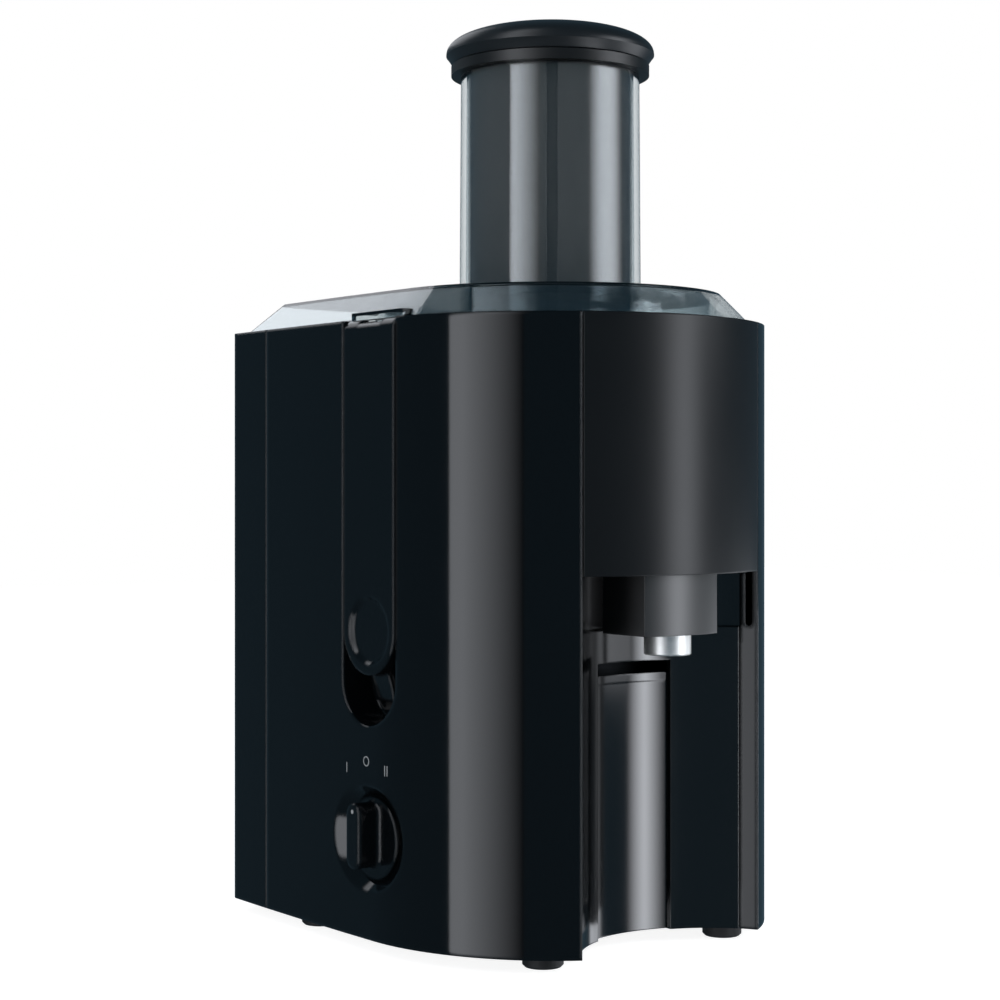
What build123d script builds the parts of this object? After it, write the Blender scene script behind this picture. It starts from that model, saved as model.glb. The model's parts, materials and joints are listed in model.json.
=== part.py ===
from build123d import *
import os
from math import cos, pi, radians, sin, sqrt

os.makedirs("parts", exist_ok=True)

# Centrifugal juicer in millimetres, +Z up, standing on its feet at Z = 0.
# X runs along the body: pulp container at -X, juice spout at +X. The knob is on the front, at -Y.
# Sizes below are measured from the drive axis, which carries the motor, the filter and the chute.

# Fits and walls
fit = 0.25
run = 0.06
seam = 0.5
wall = 3.0
thin = 2.5

# Body in plan: a drum round the drive axis, flat sides and a rounded left end
drum_radius = 94.0
side_radius = 2500.0
left_reach = 131.0
end_radius = 420.0
corner_radius = 7.0
bay_gap = 10.5
apron_half_angle = 31.0

# Levels of the body
foot_height = 6.0
body_top = 265.0
plate_thickness = 3.0
deck_drop = 79.0
ledge_thickness = 3.0
ledge_width = 6.0
ledge_end = 60.0

# Jug recess under the apron
recess_radius = 58.0
recess_gap = 5.75
apron_drop = 27.0
fascia_drop = 51.0
fascia_height = 14.0
hollow_step = 4.0
panel_width = 40.0
panel_slot = 5.4
panel_lip = 3.6
panel_lip_proud = 0.6
flange_depth = 8.0
flange_slot_width = 3.0
flange_slot_length = 23.0

# Latch arms, their channel and the finger scoop below them; latches and knob share one column
column_x = -5.0
latch_width = 37.0
latch_gap = 0.4
latch_thickness = 6.0
latch_end_height = 134.7
latch_swing = 100.0
knuckle_radius = 4.5
latch_pin_radius = 1.5
lug_width = 16.0
lug_eye = 2.6
lug_roof = 3.2
latch_dish_radius = 14.5
latch_dish_depth = 1.8
latch_dish_taper = 45.0
scoop_depth = 16.0
scoop_bottom = 95.0
tongue_width = 14.0
tongue_bottom = 105.0
tongue_thickness = 2.4
catch_width = 10.0
catch_height = 3.0
catch_level = 150.0
catch_play = 1.0

# Knob, its oval dish and the switch behind it
knob_level = 48.0
dish_half_width = 26.0
dish_half_height = 22.3
dish_depth = 5.0
dish_floor_radius = 17.5
knob_disc = 2.0
grip_width = 9.5
grip_up = 15.4
grip_down = 12.0
grip_proud = 7.6
grip_edge = 0.8
grip_root = 1.5
spindle_radius = 3.0
switch_size = 26.0
switch_depth = 18.0

# Juice bowl
bowl_gap = 4.5
bowl_wall = 2.5
bowl_rim = 4.0
bowl_sleeve = 14.0
bowl_sleeve_height = 14.0
gasket_width = 1.1

# Spout and drip stop
spout_set_back = 5.0
spout_half_width = 20.0
spout_bow = 60.0
spout_depth = 29.5
spout_drop = 52.0
spout_floor = 24.0
nozzle_set_back = 12.0
nozzle_radius = 9.8
nozzle_bore = 7.7
nozzle_proud = 8.5
nozzle_height = 20.0
nozzle_travel = 6.0
nozzle_chamfer = 0.5
drain_set_back = 20.0
drain_radius = 6.0

# Lid, chute and pusher
lid_rebate = 3.0
lid_inset = 6.0
lid_bevel = 13.0
lid_height = 16.5
lid_wall = 2.2
lid_corner = 3.0
lid_skirt_drop = 8.0
chute_radius = 40.0
chute_draft = 0.6
chute_wall = 2.5
chute_height = 97.2
chute_clearance = 0.75
chute_lip_width = 3.7
chute_lip = 4.4
pusher_gap = 0.7
pusher_wall = 2.2
pusher_lift = 4.0
keyway_width = 4.6
keyway_depth = 4.0
keyway_angle = -37.7
cap_overhang = 3.3
cap_gap = 0.5
cap_rim = 11.2
cap_dome = 16.4

# Spinning filter
coupling_radius = 11.0
coupling_gap = 1.0
coupling_height = 12.0
coupling_chamfer = 1.0
basket_lift = 4.0
basket_floor_radius = 50.0
basket_gap = 8.5
basket_drop = 13.0
basket_wall = 2.0
basket_windows = 12
window_width = 20.0
mesh_thickness = 0.6
grater_margin = 3.0
grater_thickness = 1.0
row_inset = 6.0
row_pitch = 7.0
row_count = 4
tooth_size = 2.4
tooth_pitch = 10.0
tooth_height = 1.8
tooth_taper = 20.0

# Motor, hung under the deck
motor_radius = 42.0
motor_drop = 30.0
stator_height = 50.0
air_gap = 0.8
slot_half_angle = 36.0
coil_slack = 2.0
coil_end = 5.0
rotor_radius = 26.0
rotor_slots = 12
shaft_radius = 4.0
shaft_end = 8.0
bearing_radius = 11.0
bearing_height = 7.0
bracket_wall = 3.0
commutator_radius = 13.0
commutator_height = 16.0
commutator_drop = 24.0
bracket_drop = 24.0
fan_lift = 7.0
fan_height = 12.0
fan_head_room = 11.0
fan_radius = 36.0
fan_blades = 11
fan_sweep = 25.0
hanger_offset = 33.0
hanger_radius = 6.0
bush_height = 6.0
brush_size = 7.0

# Pulp container
pulp_wall = 2.5
pulp_rim_drop = 7.0
pulp_rim_run = 11.0
pulp_mouth_half_width = 55.0
pulp_mouth_height = 37.0
tongue_slot_offset = 45.0
pulp_tongue_width = 18.0
pulp_tongue_height = 4.0
pulp_tongue_reach = 8.0
pulp_tongue_level = 22.0

# Base
foot_radius = 8.5
foot_stem = 3.6
foot_chamfer = 1.0
foot_inset = 18.2
foot_places = (57.0, -70.0)
screw_inset = 7.4
screw_places = (37.0, -60.0)
screw_radius = 1.8
screw_head_radius = 3.2
screw_head = 1.8
screw_length = 14.0
screw_boss_radius = 5.0
vent_count = 9
vent_pitch = 9.0
vent_length = 60.0
vent_width = 4.0
gland_x = -40.0
gland_level = 28.0
gland_radius = 6.5
gland_bore = 3.6
gland_flange = 9.0
gland_recess = 1.0

# Interlock switch
interlock_width = 12.0
interlock_depth = 5.0
interlock_height = 18.0
interlock_gap = 1.0

# Reaches that follow from the sizes above, and the frame: origin under the middle of the whole object
front_reach = drum_radius + grip_proud
axis_x = (left_reach - drum_radius) / 2
axis_y = (front_reach - drum_radius) / 2
far = 2 * (left_reach + drum_radius)
plan = Plane((axis_x, axis_y, 0))
section = Plane((axis_x, axis_y, 0), x_dir=(1, 0, 0), z_dir=(0, -1, 0))
cross = Plane((axis_x + column_x, axis_y, 0), x_dir=(0, 1, 0), z_dir=(1, 0, 0))
drive_axis = Axis((axis_x, axis_y, 0), (0, 0, 1))
sides = ((-1, "front"), (1, "back"))

# Levels that follow, from the body's top down to the motor's foot
lid_seat = body_top - lid_rebate
lid_brim = lid_rebate + fit
lid_top = lid_seat + lid_height
chute_top = lid_top + chute_height
chute_lip_top = chute_top + chute_lip
cap_bottom = chute_lip_top + cap_gap
bowl_top = lid_seat - ledge_thickness
pulp_mouth_bottom = bowl_top - pulp_mouth_height
deck_level = body_top - deck_drop
deck_top = deck_level + plate_thickness
bowl_floor = deck_top + fit
bowl_sleeve_top = deck_top + bowl_sleeve_height
coupling_bottom = bowl_sleeve_top + coupling_gap
coupling_top = coupling_bottom + coupling_height
basket_floor = coupling_bottom + basket_lift
basket_floor_top = basket_floor + basket_wall
basket_top = bowl_top - basket_drop
hub_top = coupling_top + fit + basket_wall
chute_bottom = hub_top + chute_clearance
pusher_bottom = chute_bottom + pusher_lift
apron_bottom = deck_level - apron_drop
fascia_top = deck_level - fascia_drop
fascia_bottom = fascia_top - fascia_height
panel_top = fascia_bottom - panel_slot
spout_bottom = deck_level - spout_drop
spout_chamber = spout_bottom + spout_floor
nozzle_bottom = spout_bottom - nozzle_proud
upper_bracket_roof = deck_level - motor_drop
fan_bottom = upper_bracket_roof - fan_head_room - fan_height
stator_top = fan_bottom - fan_lift
stator_bottom = stator_top - stator_height
commutator_bottom = stator_bottom - commutator_drop
lower_bracket_floor = commutator_bottom - bracket_drop
shaft_bottom = lower_bracket_floor - shaft_end

# Depths and radii that follow
channel_floor = drum_radius - 2 * knuckle_radius - fit - seam
channel_half = latch_width / 2 + latch_gap
trough_half = channel_half + thin
trough_back = channel_floor - thin - fit
scoop_floor = drum_radius - scoop_depth
scoop_centre = scoop_bottom + channel_half
scoop_top = latch_end_height
latch_face = drum_radius - fit
pin_reach = latch_face - knuckle_radius
pin_level = body_top - knuckle_radius
lug_low = pin_level - lug_eye
lug_slot = lug_eye + fit
dish_floor = drum_radius - dish_depth
dish_spread = 1 + wall / dish_depth
grip_length = grip_up + grip_down
grip_level = knob_level + (grip_up - grip_down) / 2
recess_back = recess_radius + thin
panel_face = recess_back + fit
panel_back = panel_face + thin
recess_centre = motor_radius + recess_gap + panel_back
hollow_radius = recess_radius + hollow_step
bowl_radius = trough_back - bowl_gap
bowl_inner = bowl_radius - bowl_wall
pulp_seam = -(bowl_radius + bay_gap)
lid_skirt_radius = bowl_inner - gasket_width
basket_rim_radius = bowl_inner - basket_gap
grater_radius = basket_floor_radius - grater_margin
spout_front = drum_radius - spout_set_back
spout_back = spout_front - spout_depth
nozzle_x = spout_front - nozzle_set_back
drain_x = spout_front - drain_set_back
chute_bore = chute_radius - chute_wall
pusher_radius = chute_bore - chute_draft - pusher_gap
chute_lip_radius = chute_radius + chute_lip_width
cap_radius = chute_lip_radius + cap_overhang


def level(height):
    """Horizontal plane at a height, with its origin on the drive axis."""
    return plan.offset(height)


def facing(side, reach, x=0.0):
    """Upright plane that looks out of the front or the back, reach away from the drive axis."""
    return Plane((axis_x + x, axis_y + side * reach, 0), x_dir=(-side, 0, 0), z_dir=(0, side, 0))


def flange_face(side):
    """Upright plane on a housing half's edge face, with its origin at the middle of the flange's top."""
    angle = radians(apron_half_angle)
    middle = drum_radius - flange_depth / 2
    origin = (axis_x + middle * cos(angle), axis_y + side * middle * sin(angle), apron_bottom - seam)
    return Plane(origin, x_dir=(cos(angle), side * sin(angle), 0), z_dir=(-sin(angle), side * cos(angle), 0))


def body_outline(inset, corner=None):
    """Plan of the body, drawn in by inset: a drum, two long side arcs and a rounded left end."""
    with BuildSketch() as outline:
        with Locations((0, side_radius - drum_radius)):
            Circle(side_radius - inset)
        with Locations((0, drum_radius - side_radius)):
            Circle(side_radius - inset, mode=Mode.INTERSECT)
        with Locations((end_radius - left_reach, 0)):
            Circle(end_radius - inset, mode=Mode.INTERSECT)
        with Locations((-left_reach, 0)):
            Rectangle(2 * left_reach, far, mode=Mode.INTERSECT)
        fillet(outline.vertices().group_by(Axis.X)[0], corner or max(corner_radius - inset, fit))
        Circle(drum_radius - inset)
    return outline.sketch_local


def side_y(x, inset):
    """Half width of the body at x, drawn in by inset: on the drum for x > 0, else on the side arc."""
    if x > 0:
        return sqrt((drum_radius - inset) ** 2 - x**2)
    return sqrt((side_radius - inset) ** 2 - x**2) - side_radius + drum_radius


def both_sides(places, inset):
    """Points at the given X places, inset from the body's outline, on the front and on the back."""
    return [(x, side * side_y(x, inset)) for side, name in sides for x in places]


def box_region(x_low, x_high, y_low, y_high):
    """Rectangle in plan between two X and two Y values."""
    with BuildSketch() as region:
        with Locations(((x_low + x_high) / 2, (y_low + y_high) / 2)):
            Rectangle(x_high - x_low, y_high - y_low)
    return region.sketch_local


def column_region(side, half_width, near):
    """Rectangle in plan at the latches' column, from near outwards on the front or the back."""
    low, high = sorted((side * near, side * far))
    return box_region(column_x - half_width, column_x + half_width, low, high)


def shell_region(side):
    """Plan of one half of the housing, from the pulp seam round to the apron's seam."""
    angle = radians(apron_half_angle) + seam / 2 / drum_radius
    left = pulp_seam + seam / 2
    edge = (far * cos(angle), side * far * sin(angle))
    with BuildSketch() as region:
        with BuildLine():
            Polyline((left, 0), (0, 0), edge, (edge[0], side * far), (left, side * far), close=True)
        make_face()
    return region.sketch_local


def apron_region():
    """Plan of the apron's sector between the two housing halves."""
    angle = radians(apron_half_angle) - seam / 2 / drum_radius
    reach = (far * cos(angle), far * sin(angle))
    with BuildSketch() as region:
        with BuildLine():
            Polyline((0, 0), (reach[0], -reach[1]), reach, close=True)
        make_face()
    return region.sketch_local


def recess_band(inner, outer):
    """Plan of an upright wall round the jug recess, inside the housing."""
    with BuildSketch() as band:
        with Locations((recess_centre, 0)):
            Circle(outer)
            Circle(inner, mode=Mode.SUBTRACT)
        Circle(drum_radius - flange_depth - fit, mode=Mode.INTERSECT)
    return band.sketch_local


def flange_region(side):
    """Plan of the flange along a housing half's edge beside the recess, square to that edge."""
    angle = radians(apron_half_angle)
    middle = wall / 2
    x = drum_radius * cos(angle) - middle * sin(angle)
    y = drum_radius * sin(angle) + middle * cos(angle)
    with BuildSketch() as region:
        with Locations((x, side * y)):
            Rectangle(2 * flange_depth, wall, rotation=side * apron_half_angle)
        Circle(drum_radius, mode=Mode.INTERSECT)
        add(shell_region(side), mode=Mode.INTERSECT)
    return region.sketch_local


def turned(*points):
    """Half section of a turned piece from (radius, height) points, ready to revolve."""
    with BuildSketch() as profile:
        with BuildLine():
            Polyline(*points, close=True)
        make_face()
    return profile.sketch_local


def sleeve(inner, outer, low, high):
    """Half section of a plain tube."""
    return turned((inner, low), (outer, low), (outer, high), (inner, high))


def write(piece, name):
    """Label a finished piece and write it to its own file."""
    piece.part.label = name
    export_step(piece.part, f"parts/{name}.step")


# Housing halves: outer wall, ledges for deck and lid, latch trough with its finger scoop
for side, name in sides:
    with BuildPart() as shell:
        with BuildSketch(level(foot_height)):
            add(body_outline(0))
            add(body_outline(wall), mode=Mode.SUBTRACT)
            add(shell_region(side), mode=Mode.INTERSECT)
        extrude(amount=body_top - foot_height)
        for ledge_top in (deck_level, lid_seat):
            with BuildSketch(level(ledge_top - ledge_thickness)):
                add(body_outline(wall / 2))
                add(body_outline(wall + ledge_width), mode=Mode.SUBTRACT)
                add(shell_region(side), mode=Mode.INTERSECT)
                add(box_region(-far, ledge_end, -far, far), mode=Mode.INTERSECT)
            extrude(amount=ledge_thickness)
        with BuildSketch(level(foot_height)):
            add(flange_region(side))
        extrude(amount=apron_bottom - seam - foot_height)
        with BuildSketch(flange_face(side)):
            SlotOverall(2 * flange_slot_length, flange_slot_width, rotation=90)
        extrude(amount=wall, mode=Mode.SUBTRACT)
        for low, high, floor in (
            (scoop_top - thin, body_top, channel_floor),
            (scoop_bottom - thin, scoop_top + thin, scoop_floor),
        ):
            with BuildSketch(level(low)):
                add(body_outline(0))
                add(column_region(side, trough_half, floor - thin), mode=Mode.INTERSECT)
            extrude(amount=high - low)
        for floor, high in ((channel_floor, body_top + wall), (scoop_floor, scoop_top)):
            with BuildSketch(facing(side, floor, column_x)):
                with Locations((0, (scoop_centre + high) / 2)):
                    Rectangle(2 * channel_half, high - scoop_centre)
                with Locations((0, scoop_centre)):
                    Circle(channel_half)
            extrude(amount=scoop_depth, mode=Mode.SUBTRACT)
        with BuildSketch(facing(side, channel_floor - thin - fit, column_x)):
            with Locations((0, (lug_low - fit + body_top + wall) / 2)):
                Rectangle(lug_width + 2 * latch_gap, body_top + wall - lug_low + fit)
            with Locations((0, catch_level)):
                Rectangle(catch_width + catch_play, catch_height + 2 * catch_play)
        extrude(amount=thin + 2 * fit, mode=Mode.SUBTRACT)
        if name == "front":
            with BuildSketch(level(knob_level - dish_half_height - thin)):
                add(body_outline(0))
                add(column_region(side, dish_half_width + thin, dish_floor - thin), mode=Mode.INTERSECT)
            extrude(amount=2 * (dish_half_height + thin))
            with BuildSketch(facing(side, dish_floor, column_x)):
                with Locations((0, knob_level)):
                    Circle(dish_floor_radius)
            with BuildSketch(facing(side, drum_radius + wall, column_x)):
                with Locations((0, knob_level)):
                    Ellipse(
                        dish_floor_radius + dish_spread * (dish_half_width - dish_floor_radius),
                        dish_floor_radius + dish_spread * (dish_half_height - dish_floor_radius),
                    )
            loft(mode=Mode.SUBTRACT)
            with BuildSketch(facing(side, dish_floor - 2 * thin, column_x)):
                with Locations((0, knob_level)):
                    Circle(spindle_radius + fit)
            extrude(amount=dish_depth + 2 * thin, mode=Mode.SUBTRACT)
        else:
            with BuildSketch(facing(side, drum_radius - 2 * wall)):
                with Locations((-side * gland_x, gland_level)):
                    Circle(gland_radius + fit)
            extrude(amount=3 * wall, mode=Mode.SUBTRACT)
        boss_low = foot_height + plate_thickness + fit
        with BuildSketch(level(boss_low)):
            with Locations(*both_sides(screw_places, screw_inset)):
                Circle(screw_boss_radius)
            add(shell_region(side), mode=Mode.INTERSECT)
            add(body_outline(wall / 2), mode=Mode.INTERSECT)
        extrude(amount=screw_length)
        with BuildSketch(level(boss_low)):
            with Locations(*both_sides(screw_places, screw_inset)):
                Circle(screw_radius + run)
        extrude(amount=screw_length - wall, mode=Mode.SUBTRACT)
    write(shell, f"{name}_shell")

# Jug recess: concave wall with its fascia, stepping back into the hollow under the apron
with BuildPart() as recess_wall:
    with BuildSketch(level(foot_height)):
        add(recess_band(recess_radius, recess_back))
    extrude(amount=fascia_top - foot_height)
    with BuildSketch(level(fascia_top - thin)):
        add(recess_band(recess_radius, hollow_radius + thin))
    extrude(amount=thin)
    with BuildSketch(level(fascia_top - thin)):
        add(recess_band(hollow_radius, hollow_radius + thin))
    extrude(amount=deck_level - fit - fascia_top + thin)
    window = panel_width / 2 + fit
    with BuildSketch(level(0)):
        add(box_region(0, drum_radius, -window, window))
    extrude(amount=fascia_bottom, mode=Mode.SUBTRACT)
write(recess_wall, "recess_wall")

# Insert panel of the recess, set back behind the wall's window, with a proud lip along its top
with BuildPart() as recess_panel:
    frame_lap = panel_width / 2 + wall
    with BuildSketch(level(foot_height)):
        add(recess_band(panel_face, panel_back))
        add(box_region(0, drum_radius, -frame_lap, frame_lap), mode=Mode.INTERSECT)
    extrude(amount=panel_top - foot_height)
    with BuildSketch(level(panel_top - panel_lip)):
        add(recess_band(panel_face - panel_lip_proud, panel_back))
        add(box_region(0, drum_radius, -panel_width / 2, panel_width / 2), mode=Mode.INTERSECT)
    extrude(amount=panel_lip)
write(recess_panel, "recess_panel")

# Base plate with foot and screw holes and cooling slots
with BuildPart() as base_plate:
    with BuildSketch(level(foot_height)):
        add(body_outline(wall + fit))
        add(box_region(pulp_seam + seam, far, -far, far), mode=Mode.INTERSECT)
        with Locations((recess_centre, 0)):
            Circle(panel_back + fit, mode=Mode.SUBTRACT)
        with Locations(*both_sides(foot_places, foot_inset)):
            Circle(foot_stem + run, mode=Mode.SUBTRACT)
        with Locations(*both_sides(screw_places, screw_inset)):
            Circle(screw_radius + run, mode=Mode.SUBTRACT)
        with GridLocations(vent_pitch, 0, vent_count, 1):
            SlotOverall(vent_length, vent_width, rotation=90, mode=Mode.SUBTRACT)
    extrude(amount=plate_thickness)
    with BuildSketch(level(foot_height)):
        with Locations(*both_sides(screw_places, screw_inset)):
            Circle(screw_head_radius + fit)
    extrude(amount=screw_head, mode=Mode.SUBTRACT)
write(base_plate, "base_plate")

# Rubber feet with stems through the base plate
with BuildPart() as feet:
    with BuildSketch(level(0)):
        with Locations(*both_sides(foot_places, foot_inset)):
            Circle(foot_radius)
    extrude(amount=foot_height)
    with BuildSketch(level(foot_height)):
        with Locations(*both_sides(foot_places, foot_inset)):
            Circle(foot_stem)
    extrude(amount=plate_thickness)
    chamfer(feet.edges().filter_by(GeomType.CIRCLE).group_by(Axis.Z)[0], foot_chamfer)
write(feet, "feet")

# Screws that hold the base plate to the housing halves
with BuildPart() as base_screws:
    with BuildSketch(level(foot_height)):
        with Locations(*both_sides(screw_places, screw_inset)):
            Circle(screw_head_radius)
    extrude(amount=screw_head)
    with BuildSketch(level(foot_height + screw_head)):
        with Locations(*both_sides(screw_places, screw_inset)):
            Circle(screw_radius)
    extrude(amount=screw_length - 2 * wall)
write(base_screws, "base_screws")

# Cord gland in the back of the housing
with BuildPart() as cord_gland:
    for radius, reach, length in (
        (gland_radius, drum_radius - 2 * wall, 2 * wall - gland_recess),
        (gland_flange, drum_radius - 2 * wall, wall - gland_recess),
    ):
        with BuildSketch(facing(1, reach)):
            with Locations((-gland_x, gland_level)):
                Circle(radius)
                Circle(gland_bore, mode=Mode.SUBTRACT)
        extrude(amount=length)
write(cord_gland, "cord_gland")

# Motor deck: floor under the bowl and roof of the recess hollow, with hangers for the motor
with BuildPart() as motor_deck:
    with BuildSketch(level(deck_level)):
        add(body_outline(wall + fit))
        add(box_region(pulp_seam + seam + thin + fit, far, -far, far), mode=Mode.INTERSECT)
        for side, name in sides:
            add(column_region(side, trough_half + fit, trough_back), mode=Mode.SUBTRACT)
        notch = spout_half_width + fit
        add(
            box_region(spout_back - fit, far, -notch, notch),
            mode=Mode.SUBTRACT,
        )
        Circle(bowl_sleeve - thin, mode=Mode.SUBTRACT)
    extrude(amount=plate_thickness)
    with BuildSketch(level(deck_top)):
        Circle(bowl_sleeve - fit)
        Circle(bowl_sleeve - thin, mode=Mode.SUBTRACT)
    extrude(amount=bowl_sleeve_top - deck_top)
    hanger_low = upper_bracket_roof + bracket_wall + bush_height
    with BuildSketch(level(hanger_low)):
        with GridLocations(2 * hanger_offset, 2 * hanger_offset, 2, 2):
            Circle(hanger_radius)
            Circle(screw_radius, mode=Mode.SUBTRACT)
    extrude(amount=deck_level - hanger_low)
write(motor_deck, "motor_deck")

# Wall between the housing and the pulp container, with the pulp mouth and two tongue slots
with BuildPart() as bay_wall:
    bay_face = pulp_seam + seam
    bay_low = foot_height + plate_thickness
    with BuildSketch(level(bay_low)):
        add(body_outline(wall + fit))
        add(box_region(bay_face, bay_face + thin, -far, far), mode=Mode.INTERSECT)
    extrude(amount=lid_seat - ledge_thickness - fit - bay_low)
    with BuildSketch(level(pulp_mouth_bottom)):
        add(
            box_region(
                bay_face - fit,
                bay_face + thin + fit,
                -pulp_mouth_half_width,
                pulp_mouth_half_width,
            )
        )
    extrude(amount=body_top, mode=Mode.SUBTRACT)
    with BuildSketch(level(deck_level - ledge_thickness - fit)):
        add(box_region(bay_face - fit, bay_face + thin + fit, -far, far))
        add(body_outline(wall + ledge_width + fit), mode=Mode.SUBTRACT)
    extrude(amount=ledge_thickness + 2 * fit, mode=Mode.SUBTRACT)
    with BuildSketch(level(pulp_tongue_level - fit)):
        with Locations((bay_face, -tongue_slot_offset), (bay_face, tongue_slot_offset)):
            Rectangle(4 * thin, pulp_tongue_width + 4 * fit)
    extrude(amount=pulp_tongue_height + 2 * fit, mode=Mode.SUBTRACT)
write(bay_wall, "bay_wall")

# Pulp container: left end of the body, open at the top and lowered on the filter's side
with BuildPart() as pulp_container:
    pulp_face = pulp_seam - seam / 2
    with BuildSketch(level(foot_height)):
        add(body_outline(0))
        add(box_region(-far, pulp_face, -far, far), mode=Mode.INTERSECT)
    extrude(amount=body_top - foot_height)
    with BuildSketch(level(foot_height + pulp_wall)):
        add(body_outline(pulp_wall))
        add(box_region(-far, pulp_face - pulp_wall, -far, far), mode=Mode.INTERSECT)
    extrude(amount=body_top, mode=Mode.SUBTRACT)
    with BuildSketch(level(body_top - pulp_rim_drop)):
        add(body_outline(pulp_wall))
        add(box_region(pulp_seam - pulp_rim_run, far, -far, far), mode=Mode.INTERSECT)
    extrude(amount=body_top, mode=Mode.SUBTRACT)
    with BuildSketch(level(pulp_mouth_bottom)):
        add(
            box_region(
                pulp_face - 2 * pulp_wall,
                far,
                -pulp_mouth_half_width,
                pulp_mouth_half_width,
            )
        )
    extrude(amount=body_top, mode=Mode.SUBTRACT)
    with BuildSketch(level(pulp_tongue_level)):
        tongue_x = pulp_face + pulp_tongue_reach / 2 - pulp_wall / 2
        with Locations((tongue_x, -tongue_slot_offset), (tongue_x, tongue_slot_offset)):
            Rectangle(pulp_tongue_reach + pulp_wall, pulp_tongue_width)
    extrude(amount=pulp_tongue_height)
write(pulp_container, "pulp_container")

# Juice bowl: sleeve round the shaft, gutter, outer wall, rim and an open side towards the pulp
with BuildPart() as juice_bowl:
    with BuildSketch(section):
        add(
            turned(
                (bowl_sleeve, bowl_floor),
                (bowl_radius, bowl_floor),
                (bowl_radius, bowl_top - bowl_wall),
                (bowl_radius + bowl_rim, bowl_top - bowl_wall),
                (bowl_radius + bowl_rim, bowl_top),
                (bowl_inner, bowl_top),
                (bowl_inner, bowl_floor + bowl_wall),
                (bowl_sleeve + bowl_wall, bowl_floor + bowl_wall),
                (bowl_sleeve + bowl_wall, bowl_sleeve_top),
                (bowl_sleeve, bowl_sleeve_top),
            )
        )
    revolve(axis=drive_axis)
    with BuildSketch(level(bowl_floor)):
        with Locations((drain_x, 0)):
            Circle(drain_radius)
    extrude(amount=bowl_wall, mode=Mode.SUBTRACT)
    with BuildSketch(level(pulp_mouth_bottom)):
        add(
            box_region(
                -far,
                -bowl_radius / 2,
                -pulp_mouth_half_width,
                pulp_mouth_half_width,
            )
        )
    extrude(amount=body_top, mode=Mode.SUBTRACT)
    with BuildSketch(level(bowl_top - bowl_wall)):
        Circle(drum_radius - wall - fit)
        Circle(bowl_radius - bowl_wall / 2, mode=Mode.SUBTRACT)
        add(apron_region(), mode=Mode.INTERSECT)
    extrude(amount=bowl_wall)
write(juice_bowl, "juice_bowl")

# Apron: panel that closes the housing in front of the bowl
with BuildPart() as apron:
    with BuildSketch(level(apron_bottom)):
        Circle(drum_radius)
        Circle(drum_radius - wall, mode=Mode.SUBTRACT)
        add(apron_region(), mode=Mode.INTERSECT)
    extrude(amount=body_top - apron_bottom)
write(apron, "apron")

# Spout block under the bowl: chamber, nozzle bore and a bowed front
with BuildPart() as spout_block:
    with BuildSketch(level(spout_bottom)):
        add(box_region(spout_back, spout_front, -spout_half_width, spout_half_width))
        with Locations((spout_front - spout_bow, 0)):
            Circle(spout_bow, mode=Mode.INTERSECT)
    extrude(amount=bowl_floor - spout_bottom)
    with BuildSketch(level(spout_chamber)):
        add(
            box_region(
                spout_back + thin,
                spout_front - 2 * wall,
                -spout_half_width + wall,
                spout_half_width - wall,
            )
        )
    extrude(amount=bowl_floor - spout_chamber - thin, mode=Mode.SUBTRACT)
    with BuildSketch(level(spout_bottom)):
        with Locations((nozzle_x, 0)):
            Circle(nozzle_radius + run)
    nozzle_room = nozzle_bottom + nozzle_height + nozzle_travel + fit - spout_bottom
    extrude(amount=nozzle_room, mode=Mode.SUBTRACT)
    with BuildSketch(level(spout_bottom)):
        with Locations((nozzle_x, 0)):
            Circle(nozzle_bore)
    extrude(amount=spout_chamber - spout_bottom + thin, mode=Mode.SUBTRACT)
    with BuildSketch(level(spout_chamber)):
        with Locations((drain_x, 0)):
            Circle(drain_radius)
    extrude(amount=bowl_floor, mode=Mode.SUBTRACT)
write(spout_block, "spout_block")

# Drip stop: metal sleeve that slides up in the spout's bore
with BuildPart() as drip_stop:
    with BuildSketch(level(nozzle_bottom)):
        with Locations((nozzle_x, 0)):
            Circle(nozzle_radius)
            Circle(nozzle_bore, mode=Mode.SUBTRACT)
    extrude(amount=nozzle_height)
    chamfer(drip_stop.edges().group_by(Axis.Z)[0], nozzle_chamfer)
write(drip_stop, "drip_stop")

# Outer form of the lid's cover, and the seal skirt that hangs from it inside the bowl
with BuildPart() as lid_form:
    with BuildSketch(level(lid_seat + lid_brim)):
        add(body_outline(lid_inset, lid_corner))
    with BuildSketch(level(lid_top)):
        add(body_outline(lid_inset + lid_bevel, lid_corner))
    loft(ruled=True)

with BuildPart() as lid_skirt:
    with BuildSketch(section):
        add(sleeve(lid_skirt_radius - lid_wall, lid_skirt_radius, lid_seat + lid_brim, lid_top))
    revolve(axis=drive_axis)
    add(lid_form.part, mode=Mode.INTERSECT)
    with BuildSketch(section):
        add(
            sleeve(
                lid_skirt_radius - lid_wall,
                lid_skirt_radius,
                lid_seat - lid_skirt_drop,
                lid_seat + lid_brim,
            )
        )
    revolve(axis=drive_axis)
    with BuildSketch(level(lid_seat - lid_skirt_drop)):
        add(
            box_region(
                -lid_skirt_radius - fit,
                -bowl_radius / 2,
                -pulp_mouth_half_width,
                pulp_mouth_half_width,
            )
        )
    extrude(amount=lid_skirt_drop, mode=Mode.SUBTRACT)

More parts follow.
